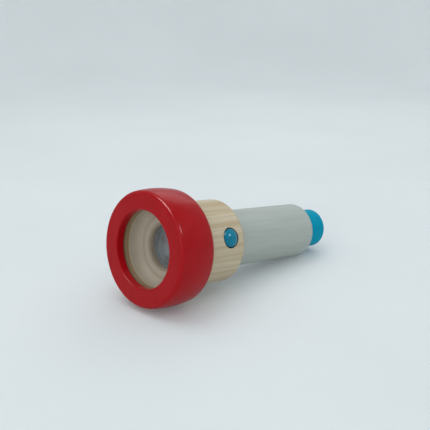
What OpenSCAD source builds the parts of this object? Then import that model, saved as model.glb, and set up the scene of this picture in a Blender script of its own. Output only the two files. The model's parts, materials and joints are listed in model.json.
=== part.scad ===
// Wooden toy kaleidoscope, lying on its side on the rim of its front ring and
// on the rear edge of its barrel.
//
// Every piece is drawn upright about the optical axis: z = 0 is the flat front
// face of the ring and z grows towards the eyepiece. lay_down() then puts the
// whole object on the ground plane, with the optical axis running along +X.

/* [Front ring] */
// Largest diameter of the painted front ring
ring_d = 70; // [66:1:74]
// Length of the front ring along the axis
ring_length = 27; // [26:0.5:28]
// Diameter of the opening that light comes in through
aperture_d = 46; // [44:0.5:47]
// Depth of the lip in front of the window
ring_lip = 5; // [4:0.5:6]
// Radius of the crown across the side of the ring
ring_crown = 70; // [60:5:90]

/* [Turning head] */
// Diameter of the natural wood collar
collar_d = 51.5; // [50:0.5:53]
// Distance from the front face to the rear end of the collar
collar_end = 60; // [58:0.5:62]
// Diameter of the sight hole in the floor of the head
sight_hole_d = 26.4; // [24:0.2:27]

/* [Pegs] */
// Diameter of the domed peg heads
peg_head_d = 11; // [10:0.5:12.5]
// Diameter of the peg shanks, which the collar grips
peg_shank_d = 8; // [7:0.5:8]
// Diameter of the peg tips, which run in the groove of the barrel
peg_tip_d = 6; // [5:0.5:6]
// Distance from the front face to the pegs
peg_z = 48; // [45:0.5:50]
// Angle of the first peg around the axis, from straight up towards -Y
peg_turn = 71; // [0:1:180]

/* [Barrel] */
// Outer diameter of the barrel
barrel_d = 36; // [34:0.5:37]
// Diameter of the bore through the barrel
barrel_bore_d = 25; // [25:0.5:25.5]
// Distance from the front face to the rear end of the barrel
barrel_end = 138; // [130:1:150]

/* [Eyepiece] */
// Diameter of the eyepiece behind the barrel
eyepiece_d = 26; // [26:0.5:28]
// Distance from the front face to the rear end of the eyepiece
eyepiece_end = 158; // [155:1:170]
// Diameter of the hole to look through
eye_hole_d = 10; // [8:0.5:11]

/* [Optics] */
// Thickness of the clear front window
window_thick = 1.6; // [1.5:0.1:2]
// Inner side of the triangle that the three mirrors make
mirror_side = 20; // [18:0.5:20]
// Thickness of each mirror strip
mirror_thick = 1.6; // [1:0.1:1.6]

/* [Hidden] */
$fn = 96;

red = "firebrick";
teal = "darkturquoise";
bare_wood = "wheat";
grey_paint = "silver";
clear_plastic = "lightcyan";
mirror_silver = "lightsteelblue";
foam_black = "dimgray";
card_black = "darkslategray";

// Roundings of turned edges
ring_front_round = 2.2;
ring_rear_round = 4.5;
ring_lip_round = 1;
collar_round = 2;
barrel_round = 2;
eyepiece_round = 2.5;
arc_steps = 10;

// Fit of the head on the barrel, whose front end is turned down to a spigot
spigot_step = 0.6;
turn_gap = 0.1;
end_gap = 0.3;
spigot_r = barrel_d / 2 - spigot_step;

// Front ring. Its side is a shallow crown that runs smoothly into the roundings
// at both ends, at the angles where the two arcs share a tangent.
ring_r = ring_d / 2;
aperture_r = aperture_d / 2;
collar_r = collar_d / 2;
crown_z = 12;
crown_centre_r = ring_r - ring_crown;
front_angle = crown_angle(ring_front_round, ring_front_round);
rear_angle = crown_angle(ring_length - ring_rear_round, ring_rear_round);

// Window and spacer, stacked between the lip of the ring and the collar
window_z = ring_lip;
spacer_length = 4.6;
spacer_z = window_z + window_thick;
collar_z = spacer_z + spacer_length;

// Inside of the head: dished floor, sight hole, lens pocket, barrel socket
dish_round = 5;
dish_depth = 6;
dish_z = collar_z + dish_depth;
dish_slope = 0.8;
sight_hole_r = sight_hole_d / 2;
sight_hole_round = 0.8;
lens_setback = 4.3;
lens_z = dish_z + lens_setback;
lens_gap = 0.1;
lens_flange = 2.5;
lens_r = 15.5;
lens_table_r = 10.8;
lens_rise = 1.2;
lens_crown_r = 12.2;
lens_crown = 3.4;
facet_count = 6;
facet_tilt = 22;
facet_table_r = 4.2;
lens_ring_length = 2;
lens_pocket_depth = 9.5;
socket_z = lens_z + lens_pocket_depth;
socket_r = spigot_r + turn_gap;
mouth_chamfer = 0.8;

// Pegs and the groove that their tips run in
peg_dome = 2.3;
peg_rise = 2.1;
peg_head_gap = 0.4;
peg_rim_r = collar_r + peg_rise - peg_dome;
peg_seat_depth = 4.5;
peg_seat_r = collar_r - peg_seat_depth;
groove_depth = 2.4;
groove_r = spigot_r - groove_depth;
groove_width = peg_tip_d + 2 * end_gap;
peg_tip_r = groove_r + end_gap;

// Barrel
barrel_r = barrel_d / 2;
barrel_bore_r = barrel_bore_d / 2;
barrel_z = socket_z + end_gap;
shoulder_z = collar_end + end_gap;

// Mirror triangle and what holds it in the bore
frame_thick = 3;
frame_overlap = 3;
frame_side = mirror_side - frame_overlap;
frame_inset = 2;
frame_z = barrel_z + frame_inset;
mirror_z = frame_z + frame_thick;
eyepiece_grip = 12;
eyepiece_z = barrel_end - eyepiece_grip;
mirror_end = eyepiece_z - frame_thick;
mirror_inset = mirror_side / (2 * sqrt(3));
mirror_side_gap = 0.2;
mirror_width = mirror_side - mirror_side_gap;
pad_gap = 0.1;
pad_inset = mirror_inset + mirror_thick + pad_gap;
pad_r = barrel_bore_r - pad_gap;
pad_end_gap = 4;
pad_margin = 1.5;

// Eyepiece
eyepiece_r = eyepiece_d / 2;
eye_hole_r = eye_hole_d / 2;
eye_dish_r = 9;
eye_dish_depth = 5;
eye_seat_r = 9;
eye_window_thick = 1.6;
eye_window_depth = 10;
eye_window_end = eyepiece_end - eye_window_depth;
eye_window_z = eye_window_end - eye_window_thick;
eye_ring_length = 3;
eye_ring_r = 7;

// Where the object rests. A point at height z and radius r on the underside of
// a tilted body of revolution lies z * sin(tilt) + r * cos(tilt) below the
// front centre. The crown of the ring and the rear rounding of the barrel reach
// the same depth, which gives the tilt.
foot_z = barrel_end - barrel_round;
foot_r = barrel_r - barrel_round;
rest_a = foot_z - crown_z;
rest_b = crown_centre_r - foot_r;
rest_c = ring_crown - barrel_round;
tilt = asin(rest_c / norm([rest_a, rest_b])) + atan2(rest_b, rest_a);
rest_height = foot_z * sin(tilt) + foot_r * cos(tilt) + barrel_round;

// The object's box along +X: from the foot of the front face, which is the end
// of its flat part plus the rounding beyond, to the upper edge of the eyepiece.
front_round_r = crown_centre_r + (ring_crown - ring_front_round) * cos(front_angle);
front_x = ring_front_round * (cos(tilt) - 1) - front_round_r * sin(tilt);
rear_x = (eyepiece_end - eyepiece_round) * cos(tilt) + eyepiece_round
    + (eyepiece_r - eyepiece_round) * sin(tilt);
centre_x = (front_x + rear_x) / 2;

// Points of an arc, both ends included
function arc(centre, r, from, to, steps = arc_steps) =
    [for (i = [0:steps])
        let (a = from + (to - from) * i / steps)
        centre + r * [cos(a), sin(a)]];

// Angle, as arc() counts it, at which the crown meets an arc of radius r inside
// it whose centre is at height z
function crown_angle(z, r) = asin((z - crown_z) / (ring_crown - r));

// Puts the upright object on the ground
module lay_down() {
    translate([-centre_x, 0, rest_height]) rotate([0, 90 + tilt, 0]) children();
}

// Turns children, drawn along +X at z = 0, to a peg's place on the collar
module at_peg(index) {
    rotate([0, 0, 180 + peg_turn + 180 * index]) translate([0, 0, peg_z])
        rotate([0, 90, 0]) children();
}

// Places children, drawn beside the +X axis, at one side of the mirror triangle
module at_mirror(index) {
    rotate([0, 0, 180 + 120 * index]) children();
}

// A disc with a round hole
module washer(r, hole_r, z, length) {
    rotate_extrude() translate([hole_r, z]) square([r - hole_r, length]);
}

module front_ring() {
    rear_round_r = crown_centre_r + (ring_crown - ring_rear_round) * cos(rear_angle);
    color(red) lay_down() rotate_extrude() polygon(concat(
        arc([aperture_r + ring_lip_round, ring_lip_round], ring_lip_round, 180, 270),
        arc([front_round_r, ring_front_round], ring_front_round, -90, front_angle),
        arc([crown_centre_r, crown_z], ring_crown, front_angle, rear_angle),
        arc([rear_round_r, ring_length - ring_rear_round], ring_rear_round, rear_angle, 90),
        [[collar_r, ring_length], [collar_r, ring_lip], [aperture_r, ring_lip]]));
}

module front_window() {
    color(clear_plastic) lay_down()
        translate([0, 0, window_z]) cylinder(r = collar_r, h = window_thick);
}

module window_spacer() {
    color(bare_wood) lay_down() washer(collar_r, aperture_r, spacer_z, spacer_length);
}

module head_collar() {
    dish_outer_r = aperture_r - dish_round;
    color(bare_wood) lay_down() difference() {
        rotate_extrude() polygon(concat(
            [[aperture_r, collar_z], [collar_r, collar_z]],
            arc([collar_r - collar_round, collar_end - collar_round], collar_round, 0, 90),
            [[socket_r + mouth_chamfer, collar_end],
             [socket_r, collar_end - mouth_chamfer],
             [socket_r, socket_z], [lens_r, socket_z],
             [lens_r, lens_z], [sight_hole_r, lens_z]],
            arc([sight_hole_r + sight_hole_round, dish_z + dish_slope + sight_hole_round],
                sight_hole_round, 180, 270, 5),
            arc([dish_outer_r, dish_z - dish_round], dish_round, 90, 0)));
        for (i = [0, 1]) at_peg(i) {
            cylinder(d = peg_shank_d, h = collar_d);
            translate([0, 0, peg_seat_r])
                cylinder(r = peg_head_d / 2 + peg_head_gap, h = collar_d);
        }
    }
}

module retaining_peg(index) {
    shank_end = socket_r + end_gap;
    head_r = peg_head_d / 2;
    dome_r = (pow(head_r, 2) + pow(peg_dome, 2)) / (2 * peg_dome);
    dome_angle = asin(head_r / dome_r);
    color(teal) lay_down() at_peg(index) rotate_extrude() polygon(concat(
        [[0, peg_tip_r], [peg_tip_d / 2, peg_tip_r], [peg_tip_d / 2, shank_end],
         [peg_shank_d / 2, shank_end], [peg_shank_d / 2, peg_seat_r],
         [head_r, peg_seat_r]],
        arc([0, peg_rim_r + peg_dome - dome_r], dome_r, 90 - dome_angle, 90)));
}

// Clear disc with a bevelled front and a crown of flat facets on its rear
module prism_lens() {
    facet_z = lens_z + lens_flange + lens_crown;
    cutter = 40;
    color(clear_plastic) lay_down() difference() {
        rotate_extrude() polygon([
            [0, lens_z - lens_rise], [lens_table_r, lens_z - lens_rise],
            [sight_hole_r - lens_gap, lens_z], [lens_r, lens_z],
            [lens_r, lens_z + lens_flange], [lens_crown_r, lens_z + lens_flange],
            [lens_crown_r, facet_z], [0, facet_z]]);
        for (i = [0:facet_count - 1])
            rotate([0, 0, 360 * i / facet_count])
                translate([facet_table_r, 0, facet_z]) rotate([0, facet_tilt, 0])
                    translate([-cutter / 4, -cutter / 2, 0]) cube([cutter, cutter, cutter]);
    }
}

module lens_ring() {
    color(card_black) lay_down()
        washer(lens_r, lens_crown_r + lens_gap, lens_z + lens_flange, lens_ring_length);
}

module barrel() {
    color(grey_paint) lay_down() rotate_extrude() polygon(concat(
        [[barrel_bore_r, barrel_z], [spigot_r, barrel_z],
         [spigot_r, peg_z - groove_width / 2], [groove_r, peg_z - groove_width / 2],
         [groove_r, peg_z + groove_width / 2], [spigot_r, peg_z + groove_width / 2],
         [spigot_r, shoulder_z], [barrel_r, shoulder_z]],
        arc([barrel_r - barrel_round, barrel_end - barrel_round], barrel_round, 0, 90),
        [[barrel_bore_r, barrel_end]]));
}

module mirror_strip(index) {
    color(mirror_silver) lay_down() at_mirror(index)
        translate([mirror_inset, -mirror_width / 2, mirror_z])
            cube([mirror_thick, mirror_width, mirror_end - mirror_z]);
}

// Foam strip that fills the space between a mirror's back and the bore
module foam_pad(index) {
    pad_z = mirror_z + pad_end_gap;
    pad_length = mirror_end - pad_end_gap - pad_z;
    pad_half = mirror_width / 2 - pad_margin;
    color(foam_black) lay_down() at_mirror(index)
        translate([0, 0, pad_z]) linear_extrude(pad_length) intersection() {
            circle(r = pad_r);
            translate([pad_inset, -pad_half]) square([pad_r, 2 * pad_half]);
        }
}

// Card disc with a triangular window, at one end of the mirrors
module mirror_frame(z) {
    color(card_black) lay_down() translate([0, 0, z]) difference() {
        cylinder(r = barrel_bore_r, h = frame_thick);
        translate([0, 0, -frame_thick])
            cylinder(r = frame_side / sqrt(3), h = 3 * frame_thick, $fn = 3);
    }
}

module eyepiece() {
    color(teal) lay_down() rotate_extrude() polygon(concat(
        [[eye_seat_r, eyepiece_z], [barrel_bore_r, eyepiece_z],
         [barrel_bore_r, barrel_end], [eyepiece_r, barrel_end]],
        arc([eyepiece_r - eyepiece_round, eyepiece_end - eyepiece_round],
            eyepiece_round, 0, 90),
        [[eye_dish_r, eyepiece_end], [eye_hole_r, eyepiece_end - eye_dish_depth],
         [eye_hole_r, eye_window_end], [eye_seat_r, eye_window_end]]));
}

module eye_window() {
    color(clear_plastic) lay_down()
        translate([0, 0, eye_window_z]) cylinder(r = eye_seat_r, h = eye_window_thick);
}

module eye_window_ring() {
    color(card_black) lay_down()
        washer(eye_seat_r, eye_ring_r, eye_window_z - eye_ring_length, eye_ring_length);
}

front_ring();
front_window();
window_spacer();
head_collar();
retaining_peg(0);  // retaining_peg_1
retaining_peg(1);  // retaining_peg_2
prism_lens();
lens_ring();
barrel();
mirror_strip(0);  // mirror_1
mirror_strip(1);  // mirror_2
mirror_strip(2);  // mirror_3
foam_pad(0);  // foam_pad_1
foam_pad(1);  // foam_pad_2
foam_pad(2);  // foam_pad_3
mirror_frame(frame_z);  // mirror_frame_front
mirror_frame(mirror_end);  // mirror_frame_rear
eyepiece();
eye_window();
eye_window_ring();
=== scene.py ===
import json
import math

import bmesh
import bpy
import numpy as np
from mathutils import Matrix, Vector


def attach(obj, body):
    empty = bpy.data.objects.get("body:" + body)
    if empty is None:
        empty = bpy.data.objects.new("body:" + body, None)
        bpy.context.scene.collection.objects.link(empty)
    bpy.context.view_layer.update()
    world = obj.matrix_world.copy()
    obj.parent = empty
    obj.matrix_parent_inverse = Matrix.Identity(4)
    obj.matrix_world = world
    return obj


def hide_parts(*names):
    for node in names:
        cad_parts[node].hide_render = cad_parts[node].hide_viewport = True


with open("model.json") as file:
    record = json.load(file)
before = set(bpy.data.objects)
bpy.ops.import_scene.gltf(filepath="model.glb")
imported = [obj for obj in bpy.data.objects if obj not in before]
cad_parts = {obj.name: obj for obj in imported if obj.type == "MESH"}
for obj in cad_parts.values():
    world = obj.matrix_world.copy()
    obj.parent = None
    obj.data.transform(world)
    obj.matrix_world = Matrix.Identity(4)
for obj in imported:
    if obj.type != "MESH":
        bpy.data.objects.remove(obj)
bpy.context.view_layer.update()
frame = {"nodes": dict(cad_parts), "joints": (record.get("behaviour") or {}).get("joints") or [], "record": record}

# A wooden toy kaleidoscope. Every CAD node is replaced by a finer piece of the same size,
# which is drawn round the optical axis and rides on the node's own body.

MM = 0.001
TURN = 2 * math.pi
SEGMENTS = 192          # points round each turned shape
FEWER_SEGMENTS = 96     # points round the pegs and the floor
SHARP_ANGLE = 18        # degrees: flatter edges than this are shaded smooth
HEAD_HOLE_R = 5.9       # the counterbores that the peg heads sit in
HOLE_EASE = 0.5         # how far the holes' edges are rounded over
HOLD = 0.05             # millimetres from a rounding to the points that keep the flats beside it flat
NO_RADIUS = 1e-6        # a radius below this is a point on the axis
ON_RADIUS = 0.02        # how near to a radius a point has to be to lie on it
PAST_POCKET = 1         # this far behind the lens pocket, the socket is the collar's only bore
SMALL_ROUNDING = 0.5    # roundings below this get fewer steps
SMALL_STEPS = 6
LARGE_STEPS = 14

# Roundings of small corners, from a crisp edge to a well sanded one
CRISP = 0.15
FINE = 0.2
TRIM = 0.25
SOFT = 0.3
SANDED = 0.4


# ---------------------------------------------------------------- the optical axis
# Pieces are drawn in axis coordinates: z runs from the front face of the ring
# towards the eyepiece, x points down from the axis and y is the row's own +Y.

record = frame["record"]
mounts = {m["name"]: m for m in record["mounts"]}
axis = Vector(frame["joints"][0]["axis"]).normalized()
axis_point = Vector(frame["joints"][0]["pos_m"])
face_point = Vector(mounts["front_face"]["pos_m"])
front_centre = axis_point + axis * (face_point - axis_point).dot(axis)
side = Vector((0, 1, 0))
down = side.cross(axis)
to_row = Matrix.Translation(front_centre) @ Matrix((down, side, axis)).transposed().to_4x4()
to_axis = to_row.inverted()


def in_axis_coordinates(node):
    """A CAD node's points in axis coordinates, in millimetres."""
    points = [to_axis @ v.co for v in frame["nodes"][node].data.vertices]
    return np.array(points) / MM


def span(node):
    """Where a CAD node starts and ends along the axis, in millimetres."""
    z = in_axis_coordinates(node)[:, 2]
    return float(z.min()), float(z.max())


def radii(node, beyond=-math.inf):
    """A CAD node's smallest and largest distance from the axis beyond some z, in millimetres."""
    points = in_axis_coordinates(node)
    points = points[points[:, 2] > beyond]
    r = np.hypot(points[:, 0], points[:, 1])
    return float(r.min()), float(r.max())


def z_at(node, radius):
    """Where along the axis a CAD node has points at this distance from it, in millimetres."""
    points = in_axis_coordinates(node)
    z = points[np.abs(np.hypot(points[:, 0], points[:, 1]) - radius) < ON_RADIUS, 2]
    return float(z.min()), float(z.max())


ring_z = span("front_ring")
hole_r, ring_r = radii("front_ring")
lip_z = z_at("front_ring", hole_r)[1]
window_z = span("front_window")
spacer_z = span("window_spacer")
collar_z = span("head_collar")
sight_r, collar_r = radii("head_collar")
lens_z = span("prism_lens")
lens_ring_z = span("lens_ring")
lens_ring_r, pocket_r = radii("lens_ring")
pocket_z = z_at("head_collar", pocket_r)
socket_r = radii("head_collar", pocket_z[1] + PAST_POCKET)[0]
barrel_z = span("barrel")
bore_r, barrel_r = radii("barrel")
grip_z = z_at("barrel", barrel_r)
eyepiece_z = span("eyepiece")
eye_hole_r, eyepiece_r = radii("eyepiece")
eye_hole_z = z_at("eyepiece", eye_hole_r)
eye_window_z = span("eye_window")
eye_window_r = radii("eye_window")[1]
eye_ring_z = span("eye_window_ring")
eye_ring_r = radii("eye_window_ring")[0]
spacer_width = spacer_z[1] - spacer_z[0]


def peg_angle(node):
    """The direction from the axis in which a peg stands, in axis coordinates."""
    x, y, _ = in_axis_coordinates(node).mean(axis=0)
    return math.atan2(y, x)


peg_angles = [peg_angle("retaining_peg_1"), peg_angle("retaining_peg_2")]
peg_z = sum(span("retaining_peg_1")) / 2


# ---------------------------------------------------------------- outlines
# An outline is a list of (radius, z) points in millimetres.

def arc(centre_r, centre_z, radius, start, end, steps):
    """Points of an arc in an outline. Angles are in degrees, and 0 points outwards."""
    angles = np.radians(np.linspace(start, end, steps + 1))
    return [(centre_r + radius * math.cos(a), centre_z + radius * math.sin(a)) for a in angles]


def eased(corners):
    """A closed outline whose corners are rounded. Each corner is (radius, z, rounding)."""
    points = []
    for i, (r, z, rounding) in enumerate(corners):
        if rounding == 0:
            points.append((r, z))
            continue
        here = np.array((r, z))
        before = np.array(corners[i - 1][:2]) - here
        after = np.array(corners[(i + 1) % len(corners)][:2]) - here
        before /= np.linalg.norm(before)
        after /= np.linalg.norm(after)
        half = math.acos(max(-1, min(1, float(before @ after)))) / 2
        centre = here + (before + after) / np.linalg.norm(before + after) * rounding / math.sin(half)
        reach = rounding / math.tan(half)
        first = here + before * reach - centre
        last = here + after * reach - centre
        start = math.degrees(math.atan2(first[1], first[0]))
        sweep = (math.degrees(math.atan2(last[1], last[0])) - start + 180) % 360 - 180
        steps = SMALL_STEPS if rounding < SMALL_ROUNDING else LARGE_STEPS
        points.append(tuple(here + before * (reach + HOLD)))
        points += arc(*centre, rounding, start, start + sweep, steps)
        points.append(tuple(here + after * (reach + HOLD)))
    return points


def plain(points):
    """These points as corners with no rounding."""
    return [(r, z, 0) for r, z in points]


# ---------------------------------------------------------------- meshes

def lofted(loops, closed=True):
    """Points and faces of a skin over loops of equal count. A loop of one point is a pole."""
    verts, rows, faces = [], [], []
    count = max(len(loop) for loop in loops)
    for loop in loops:
        start = len(verts)
        verts += loop
        rows.append([start] * count if len(loop) == 1 else list(range(start, start + count)))
    for low, high in list(zip(rows, rows[1:])) + ([(rows[-1], rows[0])] if closed else []):
        for i in range(count):
            j = (i + 1) % count
            corners = list(dict.fromkeys((low[i], low[j], high[j], high[i])))
            if len(corners) > 2:
                faces.append(corners)
    return verts, faces, rows


def turn_angles(segments=SEGMENTS, start=0.0):
    """Evenly spaced angles once round, in radians."""
    return [start + TURN * i / segments for i in range(segments)]


def circle(radius, z, angles):
    """A row of points round the axis, or one point if the radius is nothing."""
    if radius < NO_RADIUS:
        return [(0, 0, z)]
    return [(radius * math.cos(a), radius * math.sin(a), z) for a in angles]


def turned(outline, segments=SEGMENTS, closed=True, start=0.0):
    """Points and faces of an outline turned about the axis, from the angle start."""
    angles = turn_angles(segments, start)
    return lofted([circle(r, z, angles) for r, z in outline], closed)


def piece(name, verts, faces, body, material, slot, *replaced):
    """A mesh piece from points in axis coordinates and millimetres, in place on its body."""
    mesh = bpy.data.meshes.new(name)
    mesh.from_pydata([tuple(np.array(v) * MM) for v in verts], [], faces)
    mesh.transform(to_row)
    bm = bmesh.new()
    bm.from_mesh(mesh)
    bmesh.ops.delete(bm, geom=[v for v in bm.verts if not v.link_faces], context="VERTS")
    bmesh.ops.recalc_face_normals(bm, faces=bm.faces)
    bm.to_mesh(mesh)
    bm.free()
    mesh.polygons.foreach_set("use_smooth", [True] * len(mesh.polygons))
    mesh.set_sharp_from_angle(angle=math.radians(SHARP_ANGLE))
    mesh.materials.append(material)
    obj = bpy.data.objects.new(name, mesh)
    bpy.context.scene.collection.objects.link(obj)
    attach(obj, body)
    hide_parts(*replaced)
    return obj


def turned_piece(name, outline, *args, closed=True):
    """A piece turned from an outline. args are those of piece() after the faces."""
    verts, faces, _ = turned(outline, closed=closed)
    return piece(name, verts, faces, *args)


def placed(verts, matrix):
    """Points drawn in a place of their own, carried to axis coordinates."""
    return [tuple(matrix @ Vector(v)) for v in verts]


def capped(loops):
    """A skin over loops, closed by one flat face at each end."""
    verts, faces, rows = lofted(loops, closed=False)
    return verts, faces + [rows[0][::-1], rows[-1]]


def bevelled_bar(outline, start, end, bevel):
    """Loops of a bar along z with this outline of (x, y) points, its end edges bevelled."""
    centre = np.mean(outline, axis=0)
    inner = [tuple(p - (p - centre) / np.linalg.norm(p - centre) * bevel) for p in np.array(outline)]
    return [[(x, y, start) for x, y in inner],
            [(x, y, start + bevel) for x, y in outline],
            [(x, y, end - bevel) for x, y in outline],
            [(x, y, end) for x, y in inner]]


# ---------------------------------------------------------------- material nodes

# The Mix node's colour sockets by number, because its sockets for plain numbers share their names
MIX_A = 6
MIX_B = 7
MIX_RESULT = 2


class Surface:
    """A material's node tree, with short calls for the nodes that these materials use."""

    def __init__(self, name):
        self.material = bpy.data.materials.new(name)
        self.material.use_nodes = True
        self.tree = self.material.node_tree
        self.tree.nodes.clear()

    def node(self, kind, sockets=(), **settings):
        """A shader node. Each socket takes a value, or a link where the value is another socket."""
        made = self.tree.nodes.new("ShaderNode" + kind)
        for key, value in settings.items():
            setattr(made, key, value)
        for key, value in dict(sockets).items():
            if isinstance(value, bpy.types.NodeSocket):
                self.tree.links.new(value, made.inputs[key])
            else:
                made.inputs[key].default_value = value
        return made

    def place(self):
        """The point on the piece in axis coordinates, in millimetres."""
        point = self.node("TexCoord").outputs["Object"]
        return self.node("Mapping", {"Vector": point, "Scale": (1 / MM,) * 3,
                                     "Rotation": to_axis.to_euler("XYZ"),
                                     "Location": to_axis.translation / MM}).outputs[0]

    def scaled(self, point, scale, shift=(0, 0, 0)):
        """The point, stretched along each axis and then moved."""
        return self.node("Mapping", {"Vector": point, "Scale": scale, "Location": shift}).outputs[0]

    def noise(self, point, scale=1.0, detail=3.0, roughness=0.5):
        """Soft noise from 0 to 1, with about scale lumps to each unit of the point."""
        return self.node("TexNoise", {"Vector": point, "Scale": scale, "Detail": detail,
                                      "Roughness": roughness}).outputs["Fac"]

    def math(self, operation, a, b):
        """One operation on two numbers, such as ADD or MULTIPLY."""
        return self.node("Math", {0: a, 1: b}, operation=operation).outputs[0]

    def part(self, point, axis_name):
        """The X, Y or Z of a point."""
        return self.node("SeparateXYZ", {"Vector": point}).outputs[axis_name]

    def range(self, value, low, high, new_low=0.0, new_high=1.0):
        """The value carried from one range to another, and held within it."""
        return self.node("MapRange", {"Value": value, "From Min": low, "From Max": high,
                                      "To Min": new_low, "To Max": new_high}).outputs[0]

    def ramp(self, value, *stops):
        """A colour for each value. Each stop is (value, colour)."""
        made = self.node("ValToRGB", {"Fac": value})
        elements = made.color_ramp.elements
        while len(elements) < len(stops):
            elements.new(0.5)
        for element, (at, tone) in zip(elements, stops):
            element.position = at
            element.color = (*tone, 1)
        return made.outputs["Color"]

    def mix(self, factor, a, b):
        """Colour a where factor is 0 and colour b where it is 1."""
        made = self.node("Mix", {"Factor": factor}, data_type="RGBA")
        for socket, value in ((made.inputs[MIX_A], a), (made.inputs[MIX_B], b)):
            if isinstance(value, bpy.types.NodeSocket):
                self.tree.links.new(value, socket)
            else:
                socket.default_value = (*value, 1)
        return made.outputs[MIX_RESULT]

    def bump(self, height, depth, under=None):
        """A bump of this depth in millimetres where height goes from 0 to 1."""
        sockets = {"Height": height, "Strength": 1.0, "Distance": depth * MM}
        if under is not None:
            sockets["Normal"] = under
        return self.node("Bump", sockets).outputs[0]

    def length(self, x, y):
        """The length of the vector that has these two parts."""
        pair = self.node("CombineXYZ", {"X": x, "Y": y}).outputs[0]
        return self.node("VectorMath", {0: pair}, operation="LENGTH").outputs["Value"]

    def worn_edges(self):
        """1 on the sharpest outer edges and 0 on flat surfaces."""
        sharpness = self.node("NewGeometry").outputs["Pointiness"]
        return self.range(sharpness, 0.52, 0.58)

    def finish(self, **sockets):
        """Ends the tree in a Principled shader with these inputs, and returns the material."""
        named = {key.replace("_", " "): value for key, value in sockets.items()}
        return self.output(self.node("BsdfPrincipled", named).outputs[0])

    def output(self, shader):
        """Ends the tree in this shader, and returns the material."""
        self.node("OutputMaterial", {"Surface": shader})
        return self.material


def colour(red, green, blue):
    """A colour given as on a screen, from 0 to 255, as the linear values that shaders take."""
    parts = [c / 255 for c in (red, green, blue)]
    return tuple(c / 12.92 if c <= 0.04045 else ((c + 0.055) / 1.055) ** 2.4 for c in parts)


def grain_point(surface, along):
    """The point, turned so that the wood's grain runs along its z.

    along is the grain's own direction: z, x, or round for a strip bent round the axis.
    """
    point = surface.place()
    if along == "z":
        return point
    if along == "x":
        quarter = (0, math.radians(90), 0)
        return surface.node("Mapping", {"Vector": point, "Rotation": quarter}).outputs[0]
    x, y, z = (surface.part(point, name) for name in "XYZ")
    round_it = surface.math("MULTIPLY", surface.math("ARCTAN2", y, x), hole_r)
    return surface.node("CombineXYZ", {"X": surface.length(x, y), "Y": z, "Z": round_it}).outputs[0]


def growth_rings(surface, point, pith, width, wander):
    """Growth rings round a pith that lies off the axis, 0 in early wood and 1 in late wood."""
    drift = surface.noise(surface.scaled(point, (0.05, 0.05, 0.012)), 1.0, 2.0)
    shift = surface.node("CombineXYZ", {"X": surface.math("MULTIPLY", drift, wander),
                                        "Y": surface.math("MULTIPLY", drift, -wander)}).outputs[0]
    drifted = surface.node("VectorMath", {0: point, 1: shift}, operation="ADD").outputs[0]
    shifted = surface.scaled(drifted, (1, 1, 0.02), (*pith, 0))
    return surface.node("TexWave", {"Vector": shifted, "Scale": 1 / (width * 2), "Distortion": 1.2,
                                    "Detail": 2.0, "Detail Scale": 0.6},
                        wave_type="RINGS", rings_direction="Z", wave_profile="SAW").outputs["Fac"]


def fibres(surface, point, width, length, detail=3.0):
    """Fine streaks along the grain, of about this width and length in millimetres."""
    return surface.noise(surface.scaled(point, (1 / width, 1 / width, 1 / length)), 1.0, detail, 0.55)


def pores(surface, point, spacing, length):
    """Short dark pores along the grain: 1 in a pore and 0 elsewhere."""
    point = surface.scaled(point, (1 / spacing, 1 / spacing, 1 / length))
    cells = surface.node("TexVoronoi", {"Vector": point, "Scale": 1.0}).outputs["Distance"]
    return surface.range(cells, 0.10, 0.16, 1.0, 0.0)


# Tones of bare rubberwood, as seen on a screen, and the painted shade of the peg holes
STREAK = (178, 158, 124)
PALE_PATCH = (212, 201, 178)
PORE = (128, 100, 68)
WORN_WOOD = (216, 205, 182)
SPACER_FRONT_TONE = (156, 126, 84)
END_GRAIN = (180, 146, 98)
PEG_HOLE_PAINTED_SHADE = (52, 38, 28)
BARE_RIM = ((196, 176, 150), (216, 199, 176))
BARE_RIM_WIDTH = 0.5    # millimetres of the barrel's rear that the stain leaves bare
# Bands of painted light and shade in the dish, from the sight hole at 0 to the wall at 1
DISH_PAINTED_SHADE_BANDS = ((0.0, (152, 126, 98)), (0.16, (163, 138, 110)), (0.24, (205, 186, 164)),
              (0.45, (209, 190, 170)), (0.6, (187, 163, 141)), (0.75, (202, 183, 160)),
              (1.0, (194, 175, 151)))

COAT_ROUGHNESS = 0.13
ACRYLIC_IOR = 1.49


def collar_cuts_and_painted_shade(s, point, base):
    """The collar's colour where it is cut: painted light and shade in bands across the dish, a warm end-grain rear
    edge and painted shade round the peg holes.
    """
    x, y, z = (s.part(point, name) for name in "XYZ")
    radius = s.length(x, y)
    wavy = s.math("ADD", radius, s.noise(s.scaled(point, (0.12, 0.12, 0.12)), detail=2.0))
    # Painted light and shade: lighter and darker bands across the dish, for the shading of its curves
    dish = s.ramp(s.range(wavy, sight_r, hole_r + 0.5), *((at, colour(*tone)) for at, tone in DISH_PAINTED_SHADE_BANDS))
    inside = s.range(radius, hole_r + 0.3, hole_r + 0.9, 0.8, 0.0)
    base = s.mix(inside, base, dish)
    end_grain = s.range(z, collar_z[1] - 2.4, collar_z[1] - 0.8, 0.0, 0.45)
    base = s.mix(end_grain, base, colour(*END_GRAIN))
    # Painted shade: the wood round each peg hole is darkened nearly to black, for the shade in the gap round the
    # peg head
    across = (-math.sin(peg_angles[0]), math.cos(peg_angles[0]), 0)
    sideways = s.node("VectorMath", {0: point, 1: across}, operation="DOT_PRODUCT").outputs["Value"]
    off = s.length(sideways, s.math("SUBTRACT", z, peg_z))
    peg_hole_painted_shade = s.range(off, HEAD_HOLE_R + HOLE_EASE * 0.4, HEAD_HOLE_R + HOLE_EASE, 0.9, 0.0)
    return s.mix(peg_hole_painted_shade, base, colour(*PEG_HOLE_PAINTED_SHADE))


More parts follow.
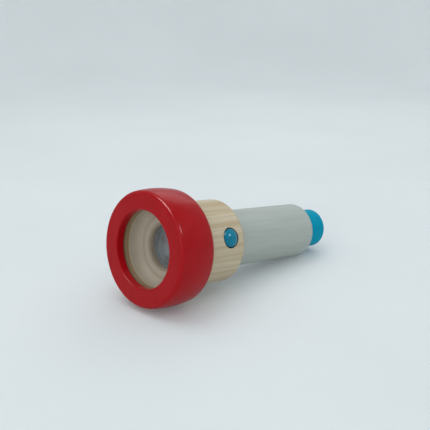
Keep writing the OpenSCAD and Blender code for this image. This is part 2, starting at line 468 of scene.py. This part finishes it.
def bare_wood(name, dark, light, line_colour, pith, ring_width, grain="z", is_collar=False):
    """Sanded rubberwood: growth rings, streaks and pores. The collar's has its cuts too, with painted light and
    shade in its dish and peg holes.
    """
    s = Surface(name)
    point = grain_point(s, grain)
    rings = growth_rings(s, point, pith, ring_width, 7.0)
    broad = fibres(s, point, 6.0, 180, 2.0)
    patch = s.range(s.noise(s.scaled(point, (0.07, 0.07, 0.01))), 0.4, 0.6)
    streak = fibres(s, point, 1.1, 80, 2.0)
    line = fibres(s, point, 0.45, 45)
    hair = fibres(s, point, 0.12, 8, 2.0)
    pore = pores(s, point, 0.6, 5)
    base = s.ramp(rings, (0.0, colour(*light)), (0.9, colour(*dark)), (1.0, colour(*light)))
    base = s.mix(s.range(broad, 0.45, 0.68), base, colour(*STREAK))
    pale = s.math("MULTIPLY", patch, s.range(streak, 0.34, 0.5, 0.25, 0.0))
    base = s.mix(pale, base, colour(*PALE_PATCH))
    lines = s.math("MULTIPLY", s.range(line, 0.5, 0.78, 0.0, 0.42), s.range(patch, 0, 1, 1, 0.3))
    base = s.mix(lines, base, colour(*line_colour))
    base = s.mix(s.math("MULTIPLY", pore, 0.25), base, colour(*PORE))
    base = s.mix(s.math("MULTIPLY", s.worn_edges(), 0.35), base, colour(*WORN_WOOD))
    if is_collar:
        base = collar_cuts_and_painted_shade(s, point, base)
    # The spacer is darker and browner over its front half
    if grain == "round":
        spacer_front_darker = s.range(s.part(s.place(), "Z"), spacer_z[0] + spacer_width * 0.5,
                            spacer_z[0] + spacer_width * 0.6, 0.75, 0.0)
        base = s.mix(spacer_front_darker, base, colour(*SPACER_FRONT_TONE))
    relief = s.bump(pore, -0.02, s.bump(hair, 0.005, s.bump(line, 0.008)))
    return s.finish(Base_Color=base, Roughness=s.range(line, 0.3, 0.7, 0.5, 0.64), Normal=relief,
                    Specular_IOR_Level=0.3)


def lacquered_wood(name, deep, main, pale, rough, gloss, dimple, grain="z", figure=0.5, coat=0.0,
                   bare_after=None):
    """Colour over wood, through which the grain still shows in streaks and in relief.

    The wood is bare beyond the z of bare_after.
    """
    s = Surface(name)
    point = grain_point(s, grain)
    broad = fibres(s, point, 5.0, 60, 2.0)
    streak = fibres(s, point, 0.7, 30)
    fine = fibres(s, point, 0.22, 9)
    pore = pores(s, point, 0.8, 6)
    tone = s.math("ADD", s.math("MULTIPLY", streak, figure), s.math("MULTIPLY", broad, 1 - figure))
    base = s.ramp(tone, (0.32, colour(*deep)), (0.5, colour(*main)), (0.7, colour(*pale)))
    base = s.mix(s.math("MULTIPLY", pore, 0.25), base, colour(*deep))
    worn = s.math("MULTIPLY", s.worn_edges(), s.range(s.noise(point, 0.5), 0.4, 0.65))
    base = s.mix(s.math("MULTIPLY", worn, 0.3), base, colour(*pale))
    orange_peel = s.noise(point, 0.9, 2.0)
    if bare_after is not None:
        ragged = s.math("ADD", s.part(s.place(), "Z"), s.math("MULTIPLY", s.noise(point, 0.8), 0.5))
        bare = s.mix(streak, *(colour(*bare_tone) for bare_tone in BARE_RIM))
        base = s.mix(s.range(ragged, bare_after + 0.2, bare_after + 0.35), base, bare)
    relief = s.bump(streak, dimple, s.bump(orange_peel, dimple))
    relief = s.bump(pore, -0.04, s.bump(fine, dimple, relief))
    return s.finish(Base_Color=base, Roughness=s.range(fine, 0.3, 0.7, rough - 0.05, rough + 0.06),
                    Normal=relief, Specular_IOR_Level=gloss, Coat_Weight=coat,
                    Coat_Roughness=COAT_ROUGHNESS)


def thin_pane(name):
    """Clear acrylic sheet, which lets light straight through, with its gloss and faint smears."""
    s = Surface(name)
    point = s.place()
    smear = s.noise(s.scaled(point, (0.09, 0.2, 0.1)), 1.0, 3.0)
    clear = s.node("BsdfTransparent", {"Color": (0.94, 0.955, 0.955, 1)}).outputs[0]
    gloss = s.node("BsdfGlossy", {"Color": (1, 1, 1, 1),
                                  "Roughness": s.range(smear, 0.4, 0.65, 0.04, 0.16),
                                  "Normal": s.bump(smear, 0.02)}).outputs[0]
    facing = s.node("Fresnel", {"IOR": ACRYLIC_IOR}).outputs[0]
    outside = s.math("SUBTRACT", 1.0, s.node("NewGeometry").outputs["Backfacing"])
    share = s.math("MULTIPLY", facing, outside)
    return s.output(s.node("MixShader", {0: share, 1: clear, 2: gloss}).outputs[0])


def solid_acrylic(name, tint):
    """Clear moulded acrylic, which bends what is behind it, with fine moulding ripples."""
    s = Surface(name)
    point = s.place()
    ripple = s.noise(s.scaled(point, (0.35, 0.35, 0.35)), 1.0, 2.0)
    haze = s.noise(point, 1.7, 4.0)
    glass = s.node("BsdfPrincipled", {"Base Color": (*tint, 1), "Transmission Weight": 1.0,
                                      "IOR": ACRYLIC_IOR,
                                      "Roughness": s.range(haze, 0.35, 0.75, 0.02, 0.12),
                                      "Normal": s.bump(ripple, 0.03)}).outputs[0]
    clear = s.node("BsdfTransparent", {"Color": (0.88, 0.9, 0.92, 1)}).outputs[0]
    shadow = s.node("LightPath").outputs["Is Shadow Ray"]
    return s.output(s.node("MixShader", {0: shadow, 1: glass, 2: clear}).outputs[0])


def mirror_metal(name):
    """Silvered acrylic mirror, with faint hairlines along it and a duller edge."""
    s = Surface(name)
    point = s.place()
    hairline = s.noise(s.scaled(point, (3, 3, 0.05)), 1.0, 3.0)
    cloud = s.noise(point, 0.12, 3.0)
    base = s.ramp(cloud, (0.35, colour(206, 212, 216)), (0.7, colour(232, 235, 237)))
    base = s.mix(s.math("MULTIPLY", s.worn_edges(), 0.6), base, colour(120, 126, 130))
    return s.finish(Base_Color=base, Metallic=1.0, Roughness=s.range(hairline, 0.4, 0.7, 0.03, 0.09),
                    Normal=s.bump(hairline, 0.004))


def foam(name):
    """Open-cell foam: dark, dull and pitted all over."""
    s = Surface(name)
    point = s.place()
    cell = s.node("TexVoronoi", {"Vector": point, "Scale": 1.6}).outputs["Distance"]
    grit = s.noise(point, 4.0, 4.0)
    base = s.mix(s.range(cell, 0.15, 0.6), colour(22, 23, 25), colour(62, 64, 68))
    base = s.mix(s.math("MULTIPLY", grit, 0.4), base, colour(80, 82, 86))
    relief = s.bump(grit, 0.08, s.bump(cell, 0.25))
    return s.finish(Base_Color=base, Roughness=s.range(grit, 0.3, 0.7, 0.85, 1.0), Normal=relief,
                    Sheen_Weight=0.2, Specular_IOR_Level=0.2)


def card(name, dark, light):
    """Pressed card with a fibrous surface and paler, furry cut edges."""
    s = Surface(name)
    point = s.place()
    pulp = s.noise(s.scaled(point, (1.4, 0.8, 1.1)), 1.0, 5.0, 0.65)
    fleck = s.noise(point, 5.0, 3.0)
    base = s.ramp(pulp, (0.3, colour(*dark)), (0.7, colour(*light)))
    base = s.mix(s.math("MULTIPLY", s.worn_edges(), 0.4), base, colour(*[c + 40 for c in light]))
    relief = s.bump(fleck, 0.03, s.bump(pulp, 0.06))
    return s.finish(Base_Color=base, Roughness=s.range(pulp, 0.3, 0.7, 0.7, 0.9), Normal=relief)


def moulded_plastic(name, dark, light, rough):
    """Moulded plastic with a fine spark-eroded texture, a faint mottle and rubbed edges."""
    s = Surface(name)
    point = s.place()
    texture = s.noise(point, 3.2, 4.0, 0.6)
    mottle = s.noise(point, 0.25, 3.0)
    base = s.ramp(mottle, (0.35, colour(*dark)), (0.7, colour(*light)))
    base = s.mix(s.math("MULTIPLY", s.worn_edges(), 0.35), base, colour(*[c + 30 for c in light]))
    return s.finish(Base_Color=base, Roughness=s.range(texture, 0.3, 0.7, rough - 0.06, rough + 0.08),
                    Normal=s.bump(texture, 0.015))


red = lacquered_wood("red_lacquer", (156, 3, 13), (163, 4, 15), (170, 7, 19), rough=0.34, gloss=0.04,
                     dimple=0.004, grain="x", coat=0.26)
grey = lacquered_wood("grey_stain", (163, 169, 163), (172, 178, 172), (179, 185, 180), rough=0.55,
                      gloss=0.25, dimple=0.008, bare_after=barrel_z[1] - BARE_RIM_WIDTH)
teal = lacquered_wood("teal_lacquer", (0, 139, 169), (0, 149, 179), (0, 156, 186), rough=0.5, gloss=0.04,
                      dimple=0.008)
teal_gloss = lacquered_wood("teal_gloss", (0, 112, 140), (0, 120, 148), (0, 128, 156), rough=0.25,
                            gloss=0.05, dimple=0.003, figure=0.4, coat=0.34)
natural = bare_wood("natural_wood", (192, 176, 148), (203, 190, 164), (150, 124, 90), pith=(14.0, 22.0),
                    ring_width=5.2, is_collar=True)
spacer_wood = bare_wood("spacer_wood", (198, 182, 152), (214, 202, 178), (150, 122, 86), pith=(31.0, 8.0),
                        ring_width=9.0, grain="round")
pane = thin_pane("clear_acrylic")
lens_acrylic = solid_acrylic("lens_acrylic", (0.93, 0.96, 0.98))
mirror = mirror_metal("mirror_glass")
black_foam = foam("black_foam")
# Painted light: the mirror frames are black card, coloured mid grey to stand in for the light inside the tube
black_card_painted_light = card("black_card", (140, 142, 146), (166, 169, 173))
# Painted light: the lens ring and the eyepiece's window ring are black plastic, coloured slate blue to stand in
# for the light seen through the lens
black_plastic_painted_light = moulded_plastic("black_plastic_painted_light", (104, 116, 134), (126, 139, 158), 0.42)


# ---------------------------------------------------------------- the head

# Crown and roundings of the ring, as turned
CROWN_R = 70
CROWN_Z = 12
FRONT_ROUND = 2.2
REAR_ROUND = 4.5
LIP_ROUND = 1.0
JOINT = 0.4             # the open joint between the spacer and the collar
GAP = 0.04              # air between clear pieces and what they touch


def crown_angle(z, radius):
    """The angle at which the crown meets an arc of this radius inside it, centred at z."""
    return math.degrees(math.asin((z - CROWN_Z) / (CROWN_R - radius)))


def ring_outline():
    """The ring's section: a flat face, a crowned side, and two bores for lip and window."""
    crown_centre = ring_r - CROWN_R
    front = crown_angle(FRONT_ROUND, FRONT_ROUND)
    rear = crown_angle(ring_z[1] - REAR_ROUND, REAR_ROUND)
    front_centre_r = crown_centre + (CROWN_R - FRONT_ROUND) * math.cos(math.radians(front))
    rear_centre_r = crown_centre + (CROWN_R - REAR_ROUND) * math.cos(math.radians(rear))
    lip = [(hole_r, LIP_ROUND + HOLD)] + arc(hole_r + LIP_ROUND, LIP_ROUND, LIP_ROUND, 180, 270, steps=10)
    edge = arc(front_centre_r, FRONT_ROUND, FRONT_ROUND, -90, front, steps=14)
    crown = arc(crown_centre, CROWN_Z, CROWN_R, front, rear, steps=28)[1:-1]
    shoulder = arc(rear_centre_r, ring_z[1] - REAR_ROUND, REAR_ROUND, rear, 90, steps=16)
    face = [(lip[-1][0] + HOLD, 0), (edge[0][0] - HOLD, 0)]
    return (lip + face + edge + crown + shoulder
            + [(collar_r, ring_z[1]), (collar_r, lip_z), (hole_r, lip_z)])


def pane_outline(z, radius):
    """A flat disc that fills this span and radius but for a little air, with its edges eased."""
    return eased([(0, z[0] + GAP, 0), (radius - GAP, z[0] + GAP, FINE),
                  (radius - GAP, z[1] - GAP, FINE), (0, z[1] - GAP, 0)])


turned_piece("ring", ring_outline(), "head", red, "red_lacquer", "front_ring")
turned_piece("window", pane_outline(window_z, collar_r), "head", pane, "clear_acrylic", "front_window",
             closed=False)
spacer_outline = eased([(hole_r, spacer_z[0], CRISP), (collar_r, spacer_z[0], CRISP),
                        (collar_r, spacer_z[1] - JOINT, CRISP), (hole_r, spacer_z[1] - JOINT, TRIM)])
turned_piece("spacer", spacer_outline, "head", spacer_wood, "natural_wood", "window_spacer")


# The collar is turned with a square of its wall left out round each peg hole, inside
# and outside. Rows of points then lead from that square's edge to the round hole.
DISH_DEPTH = 6
DISH_ROUND = 5
DISH_SLOPE = 0.8
SIGHT_ROUND = 0.8
COLLAR_ROUND = 2
MOUTH_CHAMFER = 0.8
POCKET_EASE = 0.1
PATCH = 11              # half the width of the square, in segments
PATCH_RINGS = 6
EDGE_ARC = (15, 90)     # degrees of a hole's rounded edge, from its first row to its last
SEAT_DEPTH = 4.5        # from the collar's side down to the peg heads' seat
SHANK_HOLE_R = 4.0
column = TURN / SEGMENTS
seat = collar_r - SEAT_DEPTH


def patch_rows(radius):
    """Where the rows of a wall of this radius lie along the axis, beside a peg hole."""
    return [peg_z + radius * column * k for k in range(-PATCH, PATCH + 1)]


def collar_outline():
    """The collar's section: a dish, the sight hole, the lens pocket, the socket and the wall."""
    dish_z = collar_z[0] + DISH_DEPTH
    socket = [(socket_r, z) for z in patch_rows(socket_r)]
    wall = [(collar_r, z) for z in reversed(patch_rows(collar_r))]
    return eased([(hole_r, collar_z[0], TRIM), (hole_r, dish_z, DISH_ROUND),
                  (sight_r, dish_z + DISH_SLOPE, SIGHT_ROUND), (sight_r, pocket_z[0], POCKET_EASE),
                  (pocket_r, pocket_z[0], 0), (pocket_r, pocket_z[1], FINE), (socket_r, pocket_z[1], 0)]
                 + plain(socket)
                 + [(socket_r, collar_z[1] - MOUTH_CHAMFER, FINE),
                    (socket_r + MOUTH_CHAMFER, collar_z[1], FINE), (collar_r, collar_z[1], COLLAR_ROUND)]
                 + plain(wall) + [(collar_r, ring_z[1], 0), (collar_r, collar_z[0], CRISP)])


def row_of(outline, point):
    """Which point of an outline this is."""
    return min(range(len(outline)), key=lambda i: math.dist(outline[i], point))


def square_edge():
    """The points round the edge of a patch in order, as (rows, columns) from its centre."""
    run = range(-PATCH, PATCH)
    return ([(-PATCH, k) for k in run] + [(k, PATCH) for k in run]
            + [(PATCH, -k) for k in run] + [(-k, -PATCH) for k in run])


def over_patch(radius, flat):
    """How high a wall of this radius stands over these places in a patch's plane."""
    return np.sqrt(radius ** 2 - flat[:, 0] ** 2)


def patch_rings(radius, corners, hole):
    """Rows on a wall from a patch's square edge to its hole, as places and heights."""
    shares = [k / PATCH_RINGS for k in range(1, PATCH_RINGS + 1)]
    rings = [corners * radius * column * (1 - share) + hole * share for share in shares]
    return [(flat, over_patch(radius, flat)) for flat in rings]


def eased_hole(turn, radius, surface, inward):
    """Rows that round a hole's edge over, from the surface into the hole.

    inward is -1 for a hole that starts outside the wall and 1 for one that starts inside.
    """
    angles = np.radians(np.linspace(*EDGE_ARC, SMALL_STEPS))
    return [(turn * (radius + HOLE_EASE * (1 - math.sin(a))),
             surface + inward * HOLE_EASE * (1 - math.cos(a))) for a in angles]


def hole_rows(corners):
    """A peg hole's rows, from the outer wall's patch through to the inner wall's.

    corners are the places round the patch's edge. Each row is places in the patch's plane
    and their heights from the optical axis.
    """
    turn = corners / np.linalg.norm(corners, axis=1)[:, None]
    head_edge = turn * (HEAD_HOLE_R + HOLE_EASE)
    shank_edge = turn * (SHANK_HOLE_R + HOLE_EASE)
    seat_height = np.full(len(turn), seat)
    outer = (patch_rings(collar_r, corners, head_edge)
             + eased_hole(turn, HEAD_HOLE_R, over_patch(collar_r, head_edge), -1))
    inner = (patch_rings(socket_r, corners, shank_edge)
             + eased_hole(turn, SHANK_HOLE_R, over_patch(socket_r, shank_edge), 1))
    return outer + [(turn * HEAD_HOLE_R, seat_height), (turn * SHANK_HOLE_R, seat_height)] + inner[::-1]


def collar():
    """The collar with its two peg holes cut through the wall."""
    outline = collar_outline()
    verts, faces, rows = turned(outline, start=peg_angles[0])
    first_outer = row_of(outline, (collar_r, patch_rows(collar_r)[-1]))
    first_inner = row_of(outline, (socket_r, patch_rows(socket_r)[0]))
    edge = square_edge()
    corners = np.array([(math.sin(over * column) / column, up) for up, over in edge])
    for centre in (0, SEGMENTS // 2):
        # The patches are opened by dropping every face that touches a point inside them
        inside = set()
        for row in range(1, 2 * PATCH):
            for col in range(centre - PATCH + 1, centre + PATCH):
                inside.add(rows[first_outer + row][col % SEGMENTS])
                inside.add(rows[first_inner + row][col % SEGMENTS])
        faces = [face for face in faces if not inside & set(face)]
        # The hole's rows are drawn on a plane square to the peg, and then carried to its place
        angle = peg_angles[0] + centre * column
        across = np.array((-math.sin(angle), math.cos(angle), 0))
        out = np.array((math.cos(angle), math.sin(angle), 0))
        along = np.array((0, 0, 1))
        chain = [[rows[first_outer + PATCH - up][(centre + over) % SEGMENTS] for up, over in edge]]
        for flat, height in hole_rows(corners):
            chain.append(list(range(len(verts), len(verts) + len(flat))))
            verts.extend(tuple(out * h + across * w + along * (peg_z + z))
                         for (w, z), h in zip(flat, height))
        chain.append([rows[first_inner + PATCH + up][(centre + over) % SEGMENTS] for up, over in edge])
        # A band of faces joins each row to the next, from the outer wall to the inner
        for low, high in zip(chain, chain[1:]):
            for i in range(len(low)):
                j = (i + 1) % len(low)
                faces.append([low[i], low[j], high[j], high[i]])
    return verts, faces


piece("collar", *collar(), "head", natural, "natural_wood", "head_collar")


# Pegs: head, dome, shank and tip
PEG_HEAD_R = 5.5
PEG_SHANK_R = 4
PEG_TIP_R = 3
PEG_TIP_ROUND = 0.5
PEG_DOME = 2.3
DOME_SHARE = 0.94       # how much of the dome is there before its edge turns down
RIM_DROP = 0.2          # the short slope between the dome and the head's side
RIM_INSET = 0.12
SHANK_CLEARANCE = 0.3


def peg_outline(node):
    """A peg's section, drawn from its tip, with z outwards from the optical axis."""
    foot, top = radii(node)
    rim = top - PEG_DOME
    dome_r = (PEG_HEAD_R ** 2 + PEG_DOME ** 2) / (2 * PEG_DOME)
    lean = math.degrees(math.asin(PEG_HEAD_R / dome_r))
    shank_end = socket_r + SHANK_CLEARANCE
    dome = arc(0, top - dome_r, dome_r, 90 - lean * DOME_SHARE, 90, steps=22)
    return (eased([(0, foot, 0), (PEG_TIP_R, foot, PEG_TIP_ROUND), (PEG_TIP_R, shank_end, 0),
                   (PEG_SHANK_R, shank_end, SOFT), (PEG_SHANK_R, seat, 0), (PEG_HEAD_R, seat, SOFT),
                   (PEG_HEAD_R, rim - RIM_DROP, 0), (PEG_HEAD_R - RIM_INSET, rim, 0)]) + dome)


for number, angle in enumerate(peg_angles, 1):
    node = f"retaining_peg_{number}"
    verts, faces, _ = turned(peg_outline(node), FEWER_SEGMENTS, closed=False)
    to_peg = Matrix(((0, -math.sin(angle), math.cos(angle)), (0, math.cos(angle), math.sin(angle)),
                     (1, 0, 0))).to_4x4()
    to_peg.translation = (0, 0, peg_z)
    piece(f"peg_{number}", placed(verts, to_peg), faces, "head", teal_gloss, "teal_lacquer", node)


# ---------------------------------------------------------------- the lens

LENS_TABLE_R = 10.8
LENS_GAP = 0.1          # between the lens's narrower parts and the holes they stand in
FLANGE = 2.5
FACET_TABLE_R = 4.2
FACETS = 6
FACET_TILT = math.radians(22)


def facet_loop(radius, height):
    """A row over the lens's faceted rear, with each point at the height of its own facet.

    With no radius, the row runs along the edge of the flat table between the facets.
    """
    loop = []
    for angle in turn_angles():
        off_middle = (angle + math.pi / FACETS) % (TURN / FACETS) - math.pi / FACETS
        r = FACET_TABLE_R / math.cos(off_middle) if radius is None else radius
        drop = max(0, r * math.cos(off_middle) - FACET_TABLE_R) * math.tan(FACET_TILT)
        loop.append((r * math.cos(angle), r * math.sin(angle), height - drop))
    return loop


def lens():
    """Clear disc with a bevelled front table, a flange and a faceted rear."""
    flange_end = pocket_z[0] + FLANGE
    crown_r = lens_ring_r - LENS_GAP
    front = eased([(0, lens_z[0], 0), (LENS_TABLE_R, lens_z[0], FINE),
                   (sight_r - LENS_GAP, pocket_z[0] + GAP, 0), (pocket_r - GAP, pocket_z[0] + GAP, CRISP),
                   (pocket_r - GAP, flange_end - GAP, CRISP), (crown_r, flange_end - GAP, 0)])
    loops = [circle(r, z, turn_angles()) for r, z in front]
    loops += [facet_loop(crown_r - GAP, lens_z[1]), facet_loop(None, lens_z[1]), [(0, 0, lens_z[1])]]
    verts, faces, _ = lofted(loops, closed=False)
    return verts, faces


piece("lens", *lens(), "head", lens_acrylic, "lens_acrylic", "prism_lens")
lens_ring_outline = eased([(lens_ring_r, lens_ring_z[0] + GAP, FINE),
                           (pocket_r, lens_ring_z[0] + GAP, CRISP),
                           (pocket_r, lens_ring_z[1], TRIM), (lens_ring_r, lens_ring_z[1], TRIM)])
turned_piece("lens_ring", lens_ring_outline, "head", black_plastic_painted_light, "black_plastic", "lens_ring")


# ---------------------------------------------------------------- the barrel and what it holds

BARREL_ROUND = 2
SPIGOT_STEP = 0.6
GROOVE_DEPTH = 2.4
GROOVE_PLAY = 0.3
GROOVE_HALF = PEG_TIP_R + GROOVE_PLAY
MOUTH_BEVEL = (0.5, 0.4)    # how far the bore's rear edge is cut back, across and along


def barrel_outline():
    """The barrel's section: the spigot with the groove for the pegs, then the grip."""
    spigot_r = barrel_r - SPIGOT_STEP
    groove_r = spigot_r - GROOVE_DEPTH
    groove = (peg_z - GROOVE_HALF, peg_z + GROOVE_HALF)
    return eased([(bore_r, barrel_z[0], SOFT), (spigot_r, barrel_z[0], SANDED),
                  (spigot_r, groove[0], CRISP), (groove_r, groove[0], SOFT),
                  (groove_r, groove[1], SOFT), (spigot_r, groove[1], CRISP),
                  (spigot_r, grip_z[0], 0), (barrel_r, grip_z[0], FINE),
                  (barrel_r, barrel_z[1], BARREL_ROUND), (bore_r + MOUTH_BEVEL[0], barrel_z[1], FINE),
                  (bore_r, barrel_z[1] - MOUTH_BEVEL[1], FINE)])


turned_piece("tube", barrel_outline(), "barrel", grey, "grey_stain", "barrel")

EYE_ROUND = 2.5
EYE_DISH_R = 9
EYE_DISH = 5
EYE_DISH_EASE = 0.8
eyepiece_outline = eased([(eye_window_r, eyepiece_z[0], SOFT), (bore_r, eyepiece_z[0], SANDED),
                          (bore_r, barrel_z[1], 0), (eyepiece_r, barrel_z[1], FINE),
                          (eyepiece_r, eyepiece_z[1], EYE_ROUND),
                          (EYE_DISH_R, eyepiece_z[1], EYE_DISH_EASE),
                          (eye_hole_r, eyepiece_z[1] - EYE_DISH, EYE_DISH_EASE),
                          (eye_hole_r, eye_hole_z[0], FINE), (eye_window_r, eye_hole_z[0], 0)])
eye_ring_outline = eased([(eye_ring_r, eye_ring_z[0], SOFT), (eye_window_r, eye_ring_z[0], FINE),
                          (eye_window_r, eye_ring_z[1], CRISP), (eye_ring_r, eye_ring_z[1], TRIM)])
turned_piece("eye_tube", eyepiece_outline, "barrel", teal, "teal_lacquer", "eyepiece")
turned_piece("eye_pane", pane_outline(eye_window_z, eye_window_r), "barrel", pane, "clear_acrylic",
             "eye_window", closed=False)
turned_piece("eye_pane_ring", eye_ring_outline, "barrel", black_plastic_painted_light, "black_plastic",
             "eye_window_ring")


# ---------------------------------------------------------------- mirrors, foam and frames

STRIPS = 3
MIRROR_ROUND = 0.2
MIRROR_BEVEL = 0.15
PAD_BEVEL = 0.4
PAD_GAP = 0.1           # between the foam's bowed face and the bore
PAD_STEPS = 25
CARD_EASE = 0.25
CORNER_CAP = 0.93       # where the frames' triangular windows stop short of their corners
WINDOW_MARGIN = 0.5     # points this far inside the disc's edge belong to its window
mirror_span = span("mirror_1")
pad_span = span("foam_pad_1")


def strip_frame(index):
    """The turn that carries a shape drawn beside the +x axis to one side of the mirror triangle."""
    return Matrix.Rotation(math.pi + TURN * index / STRIPS, 4, "Z")


def own_size(node, index):
    """Lowest and highest x and y of a strip or pad in its own frame, in millimetres."""
    back = np.array(strip_frame(index).inverted().to_3x3())
    points = in_axis_coordinates(node) @ back.T
    return points.min(axis=0), points.max(axis=0)


def rounded_rectangle(low, high, rounding):
    """Points round a rectangle with rounded corners."""
    points = []
    for right, upper, start in ((1, 1, 0), (0, 1, 90), (0, 0, 180), (1, 0, 270)):
        corner = (high[0] - rounding if right else low[0] + rounding,
                  high[1] - rounding if upper else low[1] + rounding)
        points += arc(*corner, rounding, start, start + 90, steps=4)
    return points


def pad_section(low, high):
    """A foam strip's section: flat on the mirror's back and curved against the bore."""
    pad_r = bore_r - PAD_GAP
    half = math.asin(high[1] / pad_r)
    bow = [(pad_r * math.cos(a), pad_r * math.sin(a)) for a in np.linspace(-half, half, PAD_STEPS)]
    return [(low[0], -high[1])] + bow + [(low[0], high[1])]


for i in range(STRIPS):
    turn_strip = strip_frame(i)
    low, high = own_size(f"mirror_{i + 1}", i)
    section = rounded_rectangle(low, high, MIRROR_ROUND)
    verts, faces = capped(bevelled_bar(section, *mirror_span, MIRROR_BEVEL))
    piece(f"mirror_strip_{i + 1}", placed(verts, turn_strip), faces, "barrel", mirror, "mirror_glass",
          f"mirror_{i + 1}")
    low, high = own_size(f"foam_pad_{i + 1}", i)
    verts, faces = capped(bevelled_bar(pad_section(low, high), *pad_span, PAD_BEVEL))
    pad = piece(f"foam_{i + 1}", placed(verts, turn_strip), faces, "barrel", black_foam, "black_foam",
                f"foam_pad_{i + 1}")


def window_corner_r():
    """How far from the axis the corners of the frames' triangular window reach."""
    points = in_axis_coordinates("mirror_frame_front")
    r = np.hypot(points[:, 0], points[:, 1])
    return float(r[r < bore_r - WINDOW_MARGIN].max())


def window_row(corner_r, grown, z):
    """A row round the triangular window, whose sides lie half as far out as its corners."""
    row = []
    for a in turn_angles():
        off = (a + math.pi / STRIPS) % (TURN / STRIPS) - math.pi / STRIPS
        side_r = corner_r / 2 / math.cos(math.pi / STRIPS - abs(off))
        r = min(side_r, corner_r * CORNER_CAP) + grown
        row.append((r * math.cos(a), r * math.sin(a), z))
    return row


def frame_disc(start, end):
    """A card disc with a triangular window, its edges very slightly rounded."""
    corner_r = window_corner_r()
    eases = ((CARD_EASE, start), (0, start + CARD_EASE), (0, end - CARD_EASE), (CARD_EASE, end))
    loops = [circle(bore_r - ease, z, turn_angles()) for ease, z in eases]
    loops += [window_row(corner_r, ease, z) for ease, z in reversed(eases)]
    verts, faces, _ = lofted(loops)
    return verts, faces


for node in ("mirror_frame_front", "mirror_frame_rear"):
    piece(node.replace("mirror_frame", "card_frame"), *frame_disc(*span(node)), "barrel", black_card_painted_light,
          "black_card", node)


# ---------------------------------------------------------------- stage, light and camera

# The studio's floor, the curve at its edge and its wall, in metres
BOWL_FLOOR = 0.9
BOWL_ROUND = 0.5
BOWL_WALL = 0.9
# How bright the studio's walls are, and how bright they look in a glossy surface
AMBIENT = 1.0
AMBIENT_IN_GLOSS = 0.45
# How much the floor shines of itself, as a share of its own colour
GLOW = 0.125


def area_light(name, location, target, size, power, highlight_only=False):
    """A soft box at a place in metres, turned to a target.

    A highlight_only one lights nothing and shows only as a highlight in glossy surfaces.
    """
    data = bpy.data.lights.new(name, "AREA")
    data.shape = "RECTANGLE"
    data.size, data.size_y = size
    data.energy = power
    obj = bpy.data.objects.new(name, data)
    obj.location = location
    obj.rotation_euler = (Vector(target) - Vector(location)).to_track_quat("-Z", "Y").to_euler()
    obj.visible_diffuse = not highlight_only
    bpy.context.scene.collection.objects.link(obj)


def pale_paint():
    """The floor: a pale, dull sheet, lit a little from below like a light table."""
    s = Surface("stage_paint")
    point = s.node("TexCoord").outputs["Object"]
    cloud = s.noise(point, 6.0, 3.0)
    grit = s.noise(point, 900.0, 2.0)
    base = s.ramp(cloud, (0.35, (0.63, 0.665, 0.675)), (0.65, (0.65, 0.685, 0.695)))
    return s.finish(Base_Color=base, Roughness=s.range(grit, 0.3, 0.7, 0.85, 0.95),
                    Normal=s.bump(grit, 0.02), Specular_IOR_Level=0.1, Emission_Color=base,
                    Emission_Strength=GLOW)


def studio_bowl():
    """A round floor that curves up into a wall, the same plain background from every side."""
    outline = ([(0, 0), (BOWL_FLOOR / 2, 0)] + arc(BOWL_FLOOR, BOWL_ROUND, BOWL_ROUND, -90, 0, steps=24)
               + [(BOWL_FLOOR + BOWL_ROUND, BOWL_ROUND + BOWL_WALL)])
    verts, faces, _ = turned(outline, FEWER_SEGMENTS, closed=False)
    mesh = bpy.data.meshes.new("floor")
    mesh.from_pydata(verts, [], faces)
    mesh.polygons.foreach_set("use_smooth", [True] * len(mesh.polygons))
    mesh.materials.append(pale_paint())
    obj = bpy.data.objects.new("floor", mesh)
    bpy.context.scene.collection.objects.link(obj)


def studio_world():
    """Pale walls all round, which look dimmer in a glossy surface than they are."""
    world = bpy.data.worlds.new("studio")
    world.use_nodes = True
    tree = world.node_tree
    background = tree.nodes["Background"]
    background.inputs["Color"].default_value = (0.95, 0.98, 1.0, 1)
    in_gloss = tree.nodes.new("ShaderNodeLightPath").outputs["Is Glossy Ray"]
    dimmer = tree.nodes.new("ShaderNodeMapRange")
    dimmer.inputs["To Min"].default_value = AMBIENT
    dimmer.inputs["To Max"].default_value = AMBIENT_IN_GLOSS
    tree.links.new(in_gloss, dimmer.inputs["Value"])
    tree.links.new(dimmer.outputs[0], background.inputs["Strength"])
    return world


studio_bowl()
bpy.context.scene.world = studio_world()
bpy.context.scene.view_settings.view_transform = "Standard"

# The point that the lights and the camera are set round, in millimetres behind the ring's face
MIDDLE_Z = 60

middle = to_row @ Vector((0, 0, MIDDLE_Z * MM))
area_light("overhead_softbox", (-0.10, 0.15, 0.85), middle, (0.7, 0.5), 0.9)
area_light("rear_softbox", (0.60, 0.40, 0.60), middle, (0.5, 0.4), 0.6)
area_light("front_fill", (-1.0, -0.5, 0.6), middle, (0.9, 0.7), 2.6)
area_light("ring_highlight", (-0.40, 0.12, 0.80), middle, (0.50, 0.12), 10.0, highlight_only=True)
area_light("peg_highlight", (0.18, -0.63, 0.60), middle, (0.17, 0.17), 3.2, highlight_only=True)

# The photograph's viewing angle, and the framing it has round the object
VIEW_AZIMUTH = math.radians(-45)
VIEW_ELEVATION = math.radians(19)
VIEW_DISTANCE = 0.48
FOCAL_LENGTH = 64
AIM_HEIGHT = 0.0165     # metres above the middle

toward = Vector((-math.sin(VIEW_AZIMUTH) * math.cos(VIEW_ELEVATION),
                 math.cos(VIEW_AZIMUTH) * math.cos(VIEW_ELEVATION), -math.sin(VIEW_ELEVATION)))
camera = bpy.data.objects.new("camera", bpy.data.cameras.new("camera"))
camera.data.lens = FOCAL_LENGTH
camera.data.clip_start = 0.01
camera.location = middle - toward * VIEW_DISTANCE
aim = middle + Vector((0, 0, AIM_HEIGHT))
camera.rotation_euler = (aim - camera.location).to_track_quat("-Z", "Y").to_euler()
bpy.context.scene.collection.objects.link(camera)
bpy.context.scene.camera = camera
